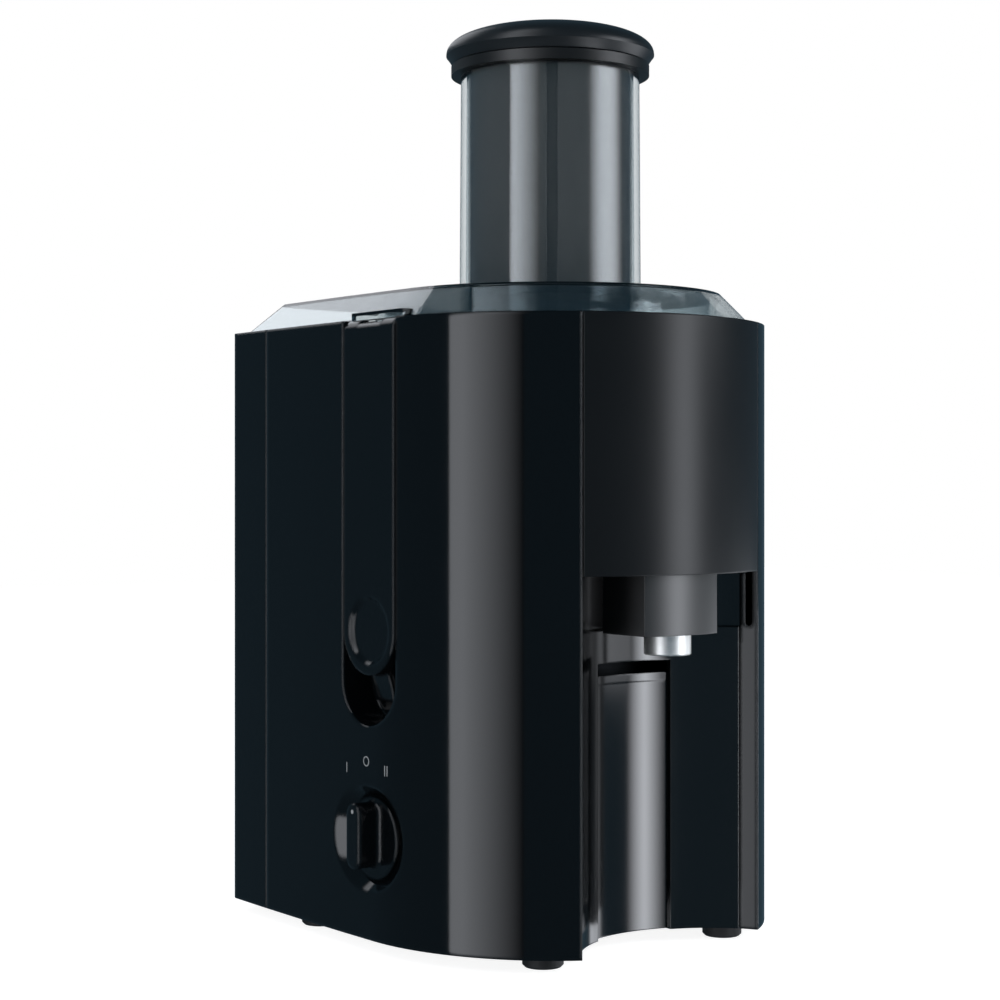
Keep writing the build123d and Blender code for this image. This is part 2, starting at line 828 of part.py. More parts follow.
# Lid: brim, bevelled cover, skirt, feed chute with its lip, and two latch lugs under small roofs
with BuildPart() as lid:
    with BuildSketch(level(lid_seat)):
        add(body_outline(wall + 2 * fit))
        add(body_outline(lid_inset + lid_wall, lid_corner - lid_wall), mode=Mode.SUBTRACT)
        for side, name in sides:
            add(column_region(side, trough_half + thin, trough_back - lid_wall))
        add(body_outline(wall + 2 * fit), mode=Mode.INTERSECT)
        for side, name in sides:
            add(column_region(side, trough_half + fit, trough_back), mode=Mode.SUBTRACT)
    extrude(amount=lid_brim)
    add(lid_form.part)
    with BuildSketch(level(lid_seat + lid_brim)):
        add(body_outline(lid_inset + lid_wall, lid_corner - lid_wall))
    with BuildSketch(level(lid_top - lid_wall)):
        add(body_outline(lid_inset + lid_bevel, lid_corner))
    loft(ruled=True, mode=Mode.SUBTRACT)
    add(lid_skirt.part)
    with BuildSketch(section):
        add(
            turned(
                (0, chute_bottom),
                (chute_radius, chute_bottom),
                (chute_radius, lid_top),
                (chute_radius - chute_draft, chute_top),
                (chute_lip_radius, chute_top),
                (chute_lip_radius, chute_lip_top),
                (0, chute_lip_top),
            )
        )
    revolve(axis=drive_axis)
    with BuildSketch(section):
        add(
            turned(
                (0, chute_bottom - wall),
                (chute_bore, chute_bottom - wall),
                (chute_bore, lid_top),
                (chute_bore - chute_draft, chute_top),
                (chute_bore - chute_draft, chute_lip_top + wall),
                (0, chute_lip_top + wall),
            )
        )
    revolve(axis=drive_axis, mode=Mode.SUBTRACT)
    lug_top = lid_seat + lid_brim
    lug_root = bowl_radius + bowl_rim + fit
    knuckle_back = pin_reach - knuckle_radius - fit
    for side, name in sides:
        for low, high, lug_in, lug_out in (
            (lid_seat, lug_top, trough_back - lid_wall, knuckle_back),
            (lug_low, lug_top, lug_root, knuckle_back),
            (lug_low, pin_level + lug_eye, lug_root, pin_reach),
        ):
            near, out = sorted((side * lug_in, side * lug_out))
            with BuildSketch(level(low)):
                add(box_region(column_x - lug_width / 2, column_x + lug_width / 2, near, out))
            extrude(amount=high - low)
        near, out = sorted((side * (drum_radius - lid_inset - 2 * lid_wall), side * pin_reach))
        with BuildSketch(level(lug_top)):
            add(box_region(column_x - channel_half, column_x + channel_half, near, out))
        extrude(amount=lug_roof)
    with BuildSketch(cross):
        with Locations((-pin_reach, pin_level), (pin_reach, pin_level)):
            Circle(lug_eye)
    extrude(amount=lug_width / 2, both=True)
    with BuildSketch(cross):
        with Locations((-pin_reach, pin_level), (pin_reach, pin_level)):
            Circle(latch_pin_radius)
    extrude(amount=lug_width, both=True, mode=Mode.SUBTRACT)
write(lid, "lid")

# Gasket between the lid's skirt and the bowl
with BuildPart() as lid_gasket:
    with BuildSketch(section):
        add(
            sleeve(
                lid_skirt_radius + run,
                bowl_inner - run,
                bowl_top - wall,
                bowl_top,
            )
        )
    revolve(axis=drive_axis)
    with BuildSketch(level(bowl_top - 2 * wall)):
        add(
            box_region(
                -far,
                -bowl_radius / 2,
                -pulp_mouth_half_width - fit,
                pulp_mouth_half_width + fit,
            )
        )
    extrude(amount=body_top, mode=Mode.SUBTRACT)
write(lid_gasket, "lid_gasket")

# Latch arms: long strip with a finger dish, knuckles on the lid's pins and a pull tongue
for side, name in sides:
    with BuildPart() as arm:
        with BuildSketch(facing(side, latch_face - latch_thickness, column_x)):
            with Locations((0, (latch_end_height + pin_level) / 2)):
                Rectangle(latch_width, pin_level - latch_end_height)
            with Locations((0, latch_end_height)):
                Circle(latch_width / 2)
        extrude(amount=latch_thickness)
        with BuildSketch(facing(side, latch_face - 2 * knuckle_radius, column_x)):
            with Locations((0, pin_level)):
                Rectangle(latch_width, 2 * knuckle_radius)
        extrude(amount=2 * knuckle_radius)
        knuckle = arm.edges().filter_by(Axis.X).group_by(Axis.Z)[-1]
        fillet(knuckle, knuckle_radius - run)
        with BuildSketch(cross):
            opened = radians(180 - latch_swing)
            reach = 2 * knuckle_radius
            front = (lug_slot * sin(opened), -lug_slot * cos(opened))
            top = (front[0] + reach * cos(opened), front[1] + reach * sin(opened))
            slot = ((-reach, -lug_slot), (0, -lug_slot), front, top, (-reach, top[1]))
            with BuildLine():
                Polyline(*((side * (pin_reach + u), pin_level + v) for u, v in slot), close=True)
            make_face()
            with Locations((side * pin_reach, pin_level)):
                Circle(lug_slot)
        extrude(amount=lug_width / 2 + latch_gap, both=True, mode=Mode.SUBTRACT)
        with BuildSketch(facing(side, latch_face - latch_dish_depth, column_x)):
            with Locations((0, latch_end_height)):
                Circle(latch_dish_radius - latch_dish_depth)
        extrude(amount=2 * latch_dish_depth, taper=-latch_dish_taper, mode=Mode.SUBTRACT)
        with BuildSketch(facing(side, channel_floor - thin, column_x)):
            with Locations((0, catch_level)):
                Rectangle(catch_width, catch_height)
        extrude(amount=latch_face - channel_floor)
        tongue_root = latch_face - latch_thickness
        tongue_level = latch_end_height - latch_width / 2 + 2 * tongue_thickness
        with BuildSketch(cross):
            with BuildLine():
                outer_tip = (side * (tongue_root - tongue_thickness), tongue_bottom)
                inner_tip = (side * (tongue_root - 2 * tongue_thickness), tongue_bottom)
                outer_root = (side * (tongue_root + tongue_thickness), tongue_level)
                inner_root = (side * tongue_root, tongue_level)
                bow = side * tongue_thickness / 3
                middle = (tongue_level + tongue_bottom) / 2
                ThreePointArc(outer_root, (side * tongue_root - bow, middle), outer_tip)
                Line(outer_tip, inner_tip)
                inner_middle = (side * (tongue_root - tongue_thickness) - bow, middle)
                ThreePointArc(inner_tip, inner_middle, inner_root)
                Line(inner_root, outer_root)
            make_face()
        extrude(amount=tongue_width / 2, both=True)
        with BuildSketch(cross):
            with Locations((side * pin_reach, pin_level)):
                Circle(latch_pin_radius + run)
        extrude(amount=latch_width, both=True, mode=Mode.SUBTRACT)
    write(arm, f"latch_arm_{name}")

# Pins of the two latch arms, held in the lid's lugs
with BuildPart() as latch_pins:
    with BuildSketch(cross):
        with Locations((-pin_reach, pin_level), (pin_reach, pin_level)):
            Circle(latch_pin_radius)
    extrude(amount=latch_width / 2 - fit, both=True)
write(latch_pins, "latch_pins")

# Speed knob: disc in the dish with a raised bar grip
with BuildPart() as knob:
    with BuildSketch(facing(-1, dish_floor + fit, column_x)):
        with Locations((0, knob_level)):
            Circle(dish_floor_radius - fit)
    extrude(amount=knob_disc)
    with BuildSketch(facing(-1, dish_floor + fit, column_x)):
        with Locations((0, grip_level)):
            SlotOverall(grip_length, grip_width, rotation=90)
    extrude(amount=front_reach - dish_floor - fit)
    disc_face = knob.faces().filter_by(Axis.Y).sort_by(Axis.Y)[1]
    fillet(disc_face.inner_wires()[0].edges(), grip_root)
    fillet(knob.faces().sort_by(Axis.Y)[0].edges(), grip_edge)
    with BuildSketch(facing(-1, dish_floor, column_x)):
        with Locations((0, knob_level)):
            Circle(spindle_radius)
    extrude(amount=dish_depth, mode=Mode.SUBTRACT)
write(knob, "knob")

# Spindle from the switch to the knob
with BuildPart() as switch_spindle:
    with BuildSketch(facing(-1, dish_floor - thin - switch_depth / 2, column_x)):
        with Locations((0, knob_level)):
            Circle(spindle_radius - run)
    extrude(amount=switch_depth / 2 + thin + dish_depth - fit)
write(switch_spindle, "switch_spindle")

# Rotary speed switch on the back of the dish
with BuildPart() as speed_switch:
    with BuildSketch(facing(-1, dish_floor - thin - switch_depth, column_x)):
        with Locations((0, knob_level)):
            Rectangle(switch_size, switch_size)
    extrude(amount=switch_depth)
    fillet(speed_switch.edges().filter_by(Axis.Y), wall)
    with BuildSketch(facing(-1, dish_floor - thin - switch_depth / 2 - fit, column_x)):
        with Locations((0, knob_level)):
            Circle(spindle_radius)
    extrude(amount=switch_depth, mode=Mode.SUBTRACT)
write(speed_switch, "speed_switch")

# Pusher: closed tube with a keyway groove let into a rib, and its domed cap
with BuildPart() as pusher_tube:
    with BuildSketch(section):
        add(
            turned(
                (0, pusher_bottom),
                (pusher_radius, pusher_bottom),
                (pusher_radius, cap_bottom),
                (pusher_radius - pusher_wall, cap_bottom),
                (pusher_radius - pusher_wall, pusher_bottom + pusher_wall),
                (0, pusher_bottom + pusher_wall),
            )
        )
    revolve(axis=drive_axis)
    with BuildSketch(level(pusher_bottom)):
        with PolarLocations(pusher_radius, 1, start_angle=keyway_angle):
            Rectangle(2 * (keyway_depth + pusher_wall), keyway_width + 2 * pusher_wall)
        Circle(pusher_radius, mode=Mode.INTERSECT)
    extrude(amount=cap_bottom - pusher_bottom)
    with BuildSketch(level(pusher_bottom + pusher_wall)):
        with PolarLocations(pusher_radius, 1, start_angle=keyway_angle):
            Rectangle(2 * keyway_depth, keyway_width)
    extrude(amount=cap_bottom, mode=Mode.SUBTRACT)
write(pusher_tube, "pusher_tube")

with BuildPart() as pusher_cap:
    with BuildSketch(section):
        with BuildLine():
            rim_top = (cap_radius - cap_rim / 2, cap_bottom + cap_rim)
            dome_rise = cap_dome - cap_rim
            dome_radius = (rim_top[0] ** 2 + dome_rise**2) / (2 * dome_rise)
            Line((0, cap_bottom), (cap_radius - cap_rim / 2, cap_bottom))
            ThreePointArc(
                (cap_radius - cap_rim / 2, cap_bottom),
                (cap_radius, cap_bottom + cap_rim / 2),
                rim_top,
            )
            RadiusArc(rim_top, (0, cap_bottom + cap_dome), -dome_radius)
            Line((0, cap_bottom + cap_dome), (0, cap_bottom))
        make_face()
    revolve(axis=drive_axis)
    with BuildSketch(level(cap_bottom - 2 * wall)):
        Circle(pusher_radius - pusher_wall - run)
        Circle(pusher_radius - 2 * pusher_wall, mode=Mode.SUBTRACT)
        with PolarLocations(pusher_radius, 1, start_angle=keyway_angle):
            rib_room = pusher_wall + run
            Rectangle(
                2 * (keyway_depth + rib_room),
                keyway_width + 2 * rib_room,
                mode=Mode.SUBTRACT,
            )
    extrude(amount=3 * wall)
write(pusher_cap, "pusher_cap")

# Motor shaft, from the lower bearing up to the drive coupling
with BuildPart() as motor_shaft:
    with BuildSketch(level(shaft_bottom)):
        Circle(shaft_radius)
    extrude(amount=coupling_top - fit - shaft_bottom)
    chamfer(motor_shaft.edges().group_by(Axis.Z)[0], shaft_radius / 8)
write(motor_shaft, "motor_shaft")

# Ball bearings in the two motor brackets
bearing_levels = {
    "lower": lower_bracket_floor - bearing_height,
    "upper": upper_bracket_roof - bearing_height,
}
for name, low in bearing_levels.items():
    with BuildPart() as bearing:
        with BuildSketch(section):
            add(sleeve(shaft_radius + run, bearing_radius, low, low + bearing_height))
        revolve(axis=drive_axis)
        chamfer(bearing.edges().filter_by(GeomType.CIRCLE), bearing_height / 14)
    write(bearing, f"{name}_bearing")

# Motor brackets: plate, bearing cup and a rim with cooling windows that reaches the stator
cup_radius = bearing_radius + bracket_wall
rim_inner = motor_radius - bracket_wall
for name, plate_low, rim_low, rim_high in (
    ("lower", lower_bracket_floor, lower_bracket_floor, stator_bottom),
    ("upper", upper_bracket_roof, stator_top, upper_bracket_roof + bracket_wall),
):
    with BuildPart() as bracket:
        with BuildSketch(section):
            add(sleeve(2 * shaft_radius, motor_radius, plate_low, plate_low + bracket_wall))
            add(sleeve(bearing_radius + run, cup_radius, plate_low - bearing_height, plate_low))
            add(sleeve(rim_inner, motor_radius, rim_low, rim_high))
        revolve(axis=drive_axis)
        window_height = rim_high - rim_low - 4 * bracket_wall
        with Locations((axis_x, axis_y, (rim_low + rim_high) / 2)):
            with PolarLocations(motor_radius, 4):
                Box(4 * bracket_wall, motor_radius / 2, window_height, mode=Mode.SUBTRACT)
        if name == "upper":
            with BuildSketch(level(plate_low)):
                with GridLocations(2 * hanger_offset, 2 * hanger_offset, 2, 2):
                    Circle(hanger_radius)
                Circle(rim_inner, mode=Mode.SUBTRACT)
            extrude(amount=bracket_wall)
            with BuildSketch(level(plate_low)):
                with GridLocations(2 * hanger_offset, 2 * hanger_offset, 2, 2):
                    Circle(screw_radius + run)
            extrude(amount=bracket_wall, mode=Mode.SUBTRACT)
    write(bracket, f"{name}_motor_bracket")

# Rubber bushes between the upper bracket and the deck's hangers
with BuildPart() as vibration_bushes:
    with BuildSketch(level(upper_bracket_roof + bracket_wall)):
        with GridLocations(2 * hanger_offset, 2 * hanger_offset, 2, 2):
            Circle(hanger_radius - fit)
            Circle(screw_radius + run, mode=Mode.SUBTRACT)
    extrude(amount=bush_height)
write(vibration_bushes, "vibration_bushes")


def ring_sector(inner, outer, half_angle, sides_only):
    """Plan of a ring, or of its two sectors within half_angle of the X axis."""
    reach_x = far * cos(radians(half_angle))
    reach_y = far * sin(radians(half_angle))
    with BuildSketch() as ring:
        Circle(outer)
        Circle(inner, mode=Mode.SUBTRACT)
        if sides_only:
            for y in (-reach_y, reach_y):
                with BuildLine():
                    Polyline((0, 0), (reach_x, y), (-reach_x, y), close=True)
                make_face(mode=Mode.SUBTRACT)
    return ring.sketch_local


# Field stator with slots for its two coils
stator_bore = rotor_radius + air_gap
slot_outer = motor_radius - 2 * bracket_wall
with BuildPart() as motor_stator:
    with BuildSketch(level(stator_bottom)):
        Circle(motor_radius)
        Circle(stator_bore, mode=Mode.SUBTRACT)
        add(ring_sector(stator_bore - air_gap, slot_outer, slot_half_angle, True), mode=Mode.SUBTRACT)
    extrude(amount=stator_height)
write(motor_stator, "motor_stator")

# Field coils: two loops, each round one pole, with their end turns above and below the stator
coil_inner = stator_bore + 2 * air_gap
coil_outer = slot_outer - fit
coil_half_angle = slot_half_angle - coil_slack
with BuildPart() as field_coils:
    with BuildSketch(level(stator_bottom - coil_end)):
        add(ring_sector(coil_inner, coil_outer, coil_half_angle, True))
        add(box_region(-far, far, -fit, fit), mode=Mode.SUBTRACT)
    extrude(amount=stator_height + 2 * coil_end)
    for low in (stator_bottom - coil_end, stator_top + fit):
        with BuildSketch(level(low)):
            add(ring_sector(coil_inner, coil_outer, coil_half_angle, False))
            add(box_region(-far, far, -fit, fit), mode=Mode.SUBTRACT)
        extrude(amount=coil_end - fit)
write(field_coils, "field_coils")

# Rotor: slotted core, end windings and commutator
with BuildPart() as rotor_core:
    with BuildSketch(level(stator_bottom)):
        Circle(rotor_radius)
        with PolarLocations(rotor_radius - bracket_wall, rotor_slots):
            Rectangle(3 * bracket_wall, bracket_wall, mode=Mode.SUBTRACT)
        Circle(shaft_radius + run, mode=Mode.SUBTRACT)
    extrude(amount=stator_height)
write(rotor_core, "rotor_core")

with BuildPart() as rotor_windings:
    for low in (stator_bottom - coil_end, stator_top):
        with BuildSketch(section):
            add(sleeve(shaft_radius + run, rotor_radius - bracket_wall, low, low + coil_end))
        revolve(axis=drive_axis)
    chamfer(rotor_windings.edges().filter_by(GeomType.CIRCLE).group_by(SortBy.RADIUS)[-1], coil_end / 4)
write(rotor_windings, "rotor_windings")

with BuildPart() as commutator:
    with BuildSketch(level(commutator_bottom)):
        Circle(commutator_radius)
        with PolarLocations(commutator_radius, 2 * rotor_slots):
            Rectangle(air_gap, air_gap, mode=Mode.SUBTRACT)
        Circle(shaft_radius + run, mode=Mode.SUBTRACT)
    extrude(amount=commutator_height)
write(commutator, "commutator")

# Brush gear: holders on the lower bracket's rim, carbon brushes and their springs
brush_level = commutator_bottom + commutator_height / 2
holder_size = brush_size + 2 * bracket_wall
holder_inner = commutator_radius + bracket_wall
brush_end = commutator_radius + 2 * brush_size
with BuildPart() as brush_holders:
    for side, name in sides:
        with BuildSketch(facing(side, holder_inner)):
            with Locations((0, brush_level)):
                Rectangle(holder_size, holder_size)
                Rectangle(brush_size + 2 * fit, brush_size + 2 * fit, mode=Mode.SUBTRACT)
        extrude(amount=rim_inner - bracket_wall / 2 - holder_inner)
write(brush_holders, "brush_holders")

with BuildPart() as carbon_brushes:
    for side, name in sides:
        with BuildSketch(facing(side, commutator_radius + fit)):
            with Locations((0, brush_level)):
                Rectangle(brush_size, brush_size)
        extrude(amount=brush_end - commutator_radius - fit)
write(carbon_brushes, "carbon_brushes")

with BuildPart() as brush_springs:
    for side, name in sides:
        with BuildSketch(facing(side, brush_end + run)):
            with Locations((0, brush_level)):
                Circle(brush_size / 2 - fit)
                Circle(brush_size / 3, mode=Mode.SUBTRACT)
        extrude(amount=rim_inner - bracket_wall / 2 - brush_end - 2 * run)
write(brush_springs, "brush_springs")

# Cooling fan
with BuildPart() as cooling_fan:
    with BuildSketch(level(fan_bottom)):
        Circle(fan_radius)
        Circle(shaft_radius + run, mode=Mode.SUBTRACT)
    extrude(amount=bracket_wall / 2)
    with BuildSketch(level(fan_bottom)):
        Circle(2 * shaft_radius)
        Circle(shaft_radius + run, mode=Mode.SUBTRACT)
        with PolarLocations((fan_radius + 3 * shaft_radius) / 2, fan_blades):
            Rectangle(fan_radius - 3 * shaft_radius, bracket_wall / 2, rotation=fan_sweep)
    extrude(amount=fan_height)
write(cooling_fan, "cooling_fan")

# Seal between the shaft and the deck's collar
with BuildPart() as shaft_seal:
    with BuildSketch(section):
        seal_top = bowl_sleeve_top - fit
        add(sleeve(shaft_radius + run, bowl_sleeve - thin - run, seal_top - 2 * wall, seal_top))
    revolve(axis=drive_axis)
write(shaft_seal, "shaft_seal")

# Drive coupling: six-sided head on the shaft that the filter drops on
with BuildPart() as drive_coupling:
    with BuildSketch(level(coupling_bottom)):
        RegularPolygon(coupling_radius, 6)
        Circle(shaft_radius + run, mode=Mode.SUBTRACT)
    extrude(amount=coupling_height)
    chamfer(drive_coupling.faces().sort_by(Axis.Z)[-1].outer_wire().edges(), coupling_chamfer)
write(drive_coupling, "drive_coupling")

# Filter basket: hub on the coupling, floor, windowed cone and rim
hub_radius = coupling_radius + 2 * basket_wall
rim_width = 2 * basket_wall
cone_inner = basket_rim_radius - basket_wall
cone_slope = (cone_inner - basket_floor_radius) / (basket_top - basket_floor_top)
with BuildPart() as filter_basket:
    with BuildSketch(section):
        add(
            turned(
                (0, coupling_bottom + fit),
                (hub_radius, coupling_bottom + fit),
                (hub_radius, basket_floor),
                (basket_floor_radius + basket_wall, basket_floor),
                (basket_rim_radius, basket_top - basket_wall),
                (basket_rim_radius + rim_width / 2, basket_top - basket_wall),
                (basket_rim_radius + rim_width / 2, basket_top),
                (cone_inner, basket_top),
                (basket_floor_radius, basket_floor_top),
                (hub_radius, basket_floor_top),
                (hub_radius, hub_top),
                (0, hub_top),
            )
        )
    revolve(axis=drive_axis)
    with BuildSketch(level(coupling_bottom)):
        RegularPolygon(coupling_radius + fit, 6)
    extrude(amount=coupling_height + fit, mode=Mode.SUBTRACT)
    window_low = basket_floor_top + 2 * basket_wall
    window_high = basket_top - 3 * basket_wall
    with Locations((axis_x, axis_y, (window_low + window_high) / 2)):
        with PolarLocations((basket_floor_radius + basket_rim_radius) / 2, basket_windows):
            Box(
                basket_rim_radius - basket_floor_radius + 2 * basket_wall,
                window_width,
                window_high - window_low,
                mode=Mode.SUBTRACT,
            )
write(filter_basket, "filter_basket")

# Fine stainless mesh cone inside the basket's windows
with BuildPart() as filter_mesh:
    mesh_low = basket_floor_top + fit
    mesh_foot = basket_floor_radius + cone_slope * fit - fit
    mesh_head = cone_inner - fit
    with BuildSketch(section):
        add(
            turned(
                (mesh_foot - mesh_thickness, mesh_low),
                (mesh_foot, mesh_low),
                (mesh_head, basket_top),
                (mesh_head - mesh_thickness, basket_top),
            )
        )
    revolve(axis=drive_axis)
write(filter_mesh, "filter_mesh")

# Grater disc: rings of raised cutting teeth on the basket's floor
with BuildPart() as grater_disc:
    grater_low = basket_floor_top + fit
    with BuildSketch(level(grater_low)):
        Circle(grater_radius)
        Circle(hub_radius + fit, mode=Mode.SUBTRACT)
    extrude(amount=grater_thickness)
    with BuildSketch(level(grater_low + grater_thickness)):
        for row in range(row_count):
            row_radius = grater_radius - row_inset - row * row_pitch
            with PolarLocations(row_radius, int(2 * pi * row_radius / tooth_pitch)):
                RegularPolygon(tooth_size / 2, 3)
    extrude(amount=tooth_height, taper=tooth_taper)
write(grater_disc, "grater_disc")

# Interlock switch beside the front latch trough
with BuildPart() as interlock_switch:
    interlock_x = column_x + trough_half + fit + interlock_width / 2
    interlock_y = -(bowl_radius + interlock_depth / 2 + interlock_gap)
    with BuildSketch(level(bowl_top - 2 * wall - interlock_height)):
        with Locations((interlock_x, interlock_y)):
            RectangleRounded(interlock_width, interlock_depth, interlock_depth / 5)
    extrude(amount=interlock_height)
write(interlock_switch, "interlock_switch")
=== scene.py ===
import json
from math import cos, radians, sin

import bpy
import numpy as np
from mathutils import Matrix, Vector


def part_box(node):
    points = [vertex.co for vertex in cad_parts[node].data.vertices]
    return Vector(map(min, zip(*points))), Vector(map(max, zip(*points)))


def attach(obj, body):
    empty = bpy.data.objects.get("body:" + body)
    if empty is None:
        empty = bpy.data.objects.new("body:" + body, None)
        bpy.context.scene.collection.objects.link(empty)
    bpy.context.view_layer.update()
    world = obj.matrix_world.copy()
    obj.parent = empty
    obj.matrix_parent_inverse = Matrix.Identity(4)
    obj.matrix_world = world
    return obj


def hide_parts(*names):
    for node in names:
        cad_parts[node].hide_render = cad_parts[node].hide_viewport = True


# Looks of a centrifugal juicer: gloss and satin black mouldings, a clear lid and chute, a smoky pusher.
# Metres, in the frame of the solids: +X towards the spout, -Y towards the knob, standing on Z = 0.

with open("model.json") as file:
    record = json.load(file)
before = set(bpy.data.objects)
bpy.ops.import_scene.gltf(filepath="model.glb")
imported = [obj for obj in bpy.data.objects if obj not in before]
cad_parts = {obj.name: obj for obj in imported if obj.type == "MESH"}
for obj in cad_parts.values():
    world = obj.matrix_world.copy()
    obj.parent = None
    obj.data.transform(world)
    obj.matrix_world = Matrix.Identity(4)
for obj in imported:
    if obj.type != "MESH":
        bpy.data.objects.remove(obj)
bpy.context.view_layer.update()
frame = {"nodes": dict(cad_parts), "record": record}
nodes = frame["nodes"]
MM = 0.001

# The drive axis carries the drum, the chute and the pusher; the knob turns about an axis along Y
cap_low, cap_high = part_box("pusher_cap")
chute_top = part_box("lid")[1].z
tube_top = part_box("pusher_tube")[1].z
AXIS_X = (cap_low.x + cap_high.x) / 2
AXIS_Y = (cap_low.y + cap_high.y) / 2
knob_low, knob_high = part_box("knob")
KNOB_X = (knob_low.x + knob_high.x) / 2
KNOB_Z = (knob_low.z + knob_high.z) / 2
DRUM_RADIUS = AXIS_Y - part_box("front_shell")[0].y

# Print on the housing and on the knob
DIAL_RADIUS = 32.3 * MM
ANGLE_ONE, ANGLE_OFF, ANGLE_TWO = -28.5, -1.6, 23.8
MARK_HEIGHT = 4.3 * MM
MARK_LINE = 0.5 * MM
MARK_PITCH = 1.5 * MM
POINTER_RISE = 12 * MM
POINTER_RADIUS = 0.9 * MM
INK = 0.05 * MM
RING_STEPS = 40
DOT_STEPS = 24

# Cap of the pusher: a dome down to its rim, an undercut below it, standing on the pusher's tube
CAP_RADIUS = 45.9 * MM
CAP_RIM = 4.0 * MM
CAP_FOOT = 43 * MM
CAP_EDGE = 0.4 * MM
CAP_POWER = 2.4
CAP_RINGS = 40
CAP_STEPS = 128
CAP_CREASE = 40

# Lip of the chute, and the collar of the pusher behind it
LIP_HEIGHT = 4.7 * MM
COLLAR_HEIGHT = 4.4 * MM

# Camera of the photograph
CAMERA_AZIMUTH = -39.035
CAMERA_DISTANCE = 950.4 * MM
CAMERA_HEIGHT = 196 * MM
CAMERA_HEADING = -37.7
FOCAL_LENGTH = 77.4
HORIZON_SHIFT = -0.016
SENSOR_WIDTH = 36

# Studio: degrees off straight behind within which clear plastic shows white, fill light, half the floor
BACKDROP_SPREAD = 40
FILL_LIGHT = 0.3
FLOOR_HALF = 3.0

# Gloss of a moulding drifts over this many millimetres; a band of another finish fades in over a height
GLOSS_DRIFT = 38
BAND_FADE = 0.2 * MM

# Working marks in metal: their share of change in gloss, and how they are drawn out along X, Y and Z, round a
# turned piece, along a rolled sheet, level in a stack of laminations, and along the wire of a coil
MARK_SPREAD = 0.3
ROUND = (0.05, 0.05, 1.0)
ROLLED = (1.0, 0.15, 1.0)
STACKED = (0.02, 0.02, 1.0)
WOUND = (0.1, 0.1, 1.0)


def linear(code):
    """Linear RGBA of an sRGB hex colour."""
    parts = [int(code[i : i + 2], 16) / 255 for i in (1, 3, 5)]
    return [c / 12.92 if c <= 0.04045 else ((c + 0.055) / 1.055) ** 2.4 for c in parts] + [1.0]


def add(tree, kind, inputs=None, **settings):
    """Add one shader node: settings are its properties, inputs its socket values or links into it."""
    made = tree.nodes.new("ShaderNode" + kind)
    for name, value in settings.items():
        setattr(made, name, value)
    for name, value in (inputs or {}).items():
        if isinstance(value, bpy.types.NodeSocket):
            tree.links.new(value, made.inputs[name])
        else:
            made.inputs[name].default_value = value
    return made


def per_size(millimetres):
    """Texture scale at which a pattern repeats about once per the given size."""
    return 1 / (millimetres * MM)


def new_material(name):
    """Empty node material with its output node."""
    material = bpy.data.materials.new(name)
    material.use_nodes = True
    tree = material.node_tree
    tree.nodes.clear()
    return material, tree, add(tree, "OutputMaterial")


def moulded(name, colour, rough, spread, grain, depth, edge=0.0, specular=0.5, band=None, **constants):
    """Injection-moulded plastic: a fine grain in bump, gloss that drifts by a spread, and softened edges.

    Grain, its depth and the edge are in millimetres. A band is a height, and the roughness and colour that
    the moulding has from that height up."""
    material, tree, output = new_material(name)
    place = add(tree, "TexCoord").outputs["Object"]
    drift = add(tree, "TexNoise", {"Vector": place, "Scale": per_size(GLOSS_DRIFT), "Detail": 3.0})
    gloss = add(
        tree,
        "MapRange",
        {"Value": drift.outputs["Fac"], "To Min": rough - spread, "To Max": rough + spread},
    )
    fine = add(tree, "TexNoise", {"Vector": place, "Scale": per_size(grain), "Detail": 2.0})
    relief = {"Height": fine.outputs["Fac"], "Distance": depth * MM, "Strength": 1.0}
    bump = add(tree, "Bump", relief)
    if edge:
        softened = add(tree, "Bevel", {"Radius": edge * MM}, samples=6)
        tree.links.new(softened.outputs["Normal"], bump.inputs["Normal"])
    inputs = {
        "Base Color": linear(colour),
        "Roughness": gloss.outputs["Result"],
        "Normal": bump.outputs["Normal"],
        "Specular IOR Level": specular,
    }
    if band:
        level, band_rough, band_colour = band
        height = add(tree, "SeparateXYZ", {"Vector": place}).outputs["Z"]
        reach = {"Value": height, "From Min": level, "From Max": level + BAND_FADE}
        share = add(tree, "MapRange", reach).outputs["Result"]
        reach.update({"To Min": gloss.outputs["Result"], "To Max": band_rough})
        inputs["Roughness"] = add(tree, "MapRange", reach).outputs["Result"]
        tints = {"Fac": share, "Color1": linear(colour), "Color2": linear(band_colour)}
        inputs["Base Color"] = add(tree, "MixRGB", tints).outputs["Color"]
    inputs.update(constants)
    shader = add(tree, "BsdfPrincipled", inputs)
    tree.links.new(shader.outputs["BSDF"], output.inputs["Surface"])
    return material


def metal(name, colour, rough, line, depth, stretch=(1, 1, 1)):
    """Metal with fine working marks: noise drawn out along one direction, in roughness and in bump.

    The width and the depth of a line are in millimetres."""
    material, tree, output = new_material(name)
    place = add(tree, "TexCoord").outputs["Object"]
    drawn = add(tree, "Mapping", {"Vector": place, "Scale": stretch})
    marks = add(
        tree,
        "TexNoise",
        {"Vector": drawn.outputs["Vector"], "Scale": per_size(line), "Detail": 3.0},
    )
    least, most = rough * (1 - MARK_SPREAD), rough * (1 + MARK_SPREAD)
    gloss = add(tree, "MapRange", {"Value": marks.outputs["Fac"], "To Min": least, "To Max": most})
    relief = {"Height": marks.outputs["Fac"], "Distance": depth * MM, "Strength": 1.0}
    bump = add(tree, "Bump", relief)
    inputs = {
        "Base Color": linear(colour),
        "Metallic": 1.0,
        "Roughness": gloss.outputs["Result"],
        "Normal": bump.outputs["Normal"],
    }
    shader = add(tree, "BsdfPrincipled", inputs)
    tree.links.new(shader.outputs["BSDF"], output.inputs["Surface"])
    return material


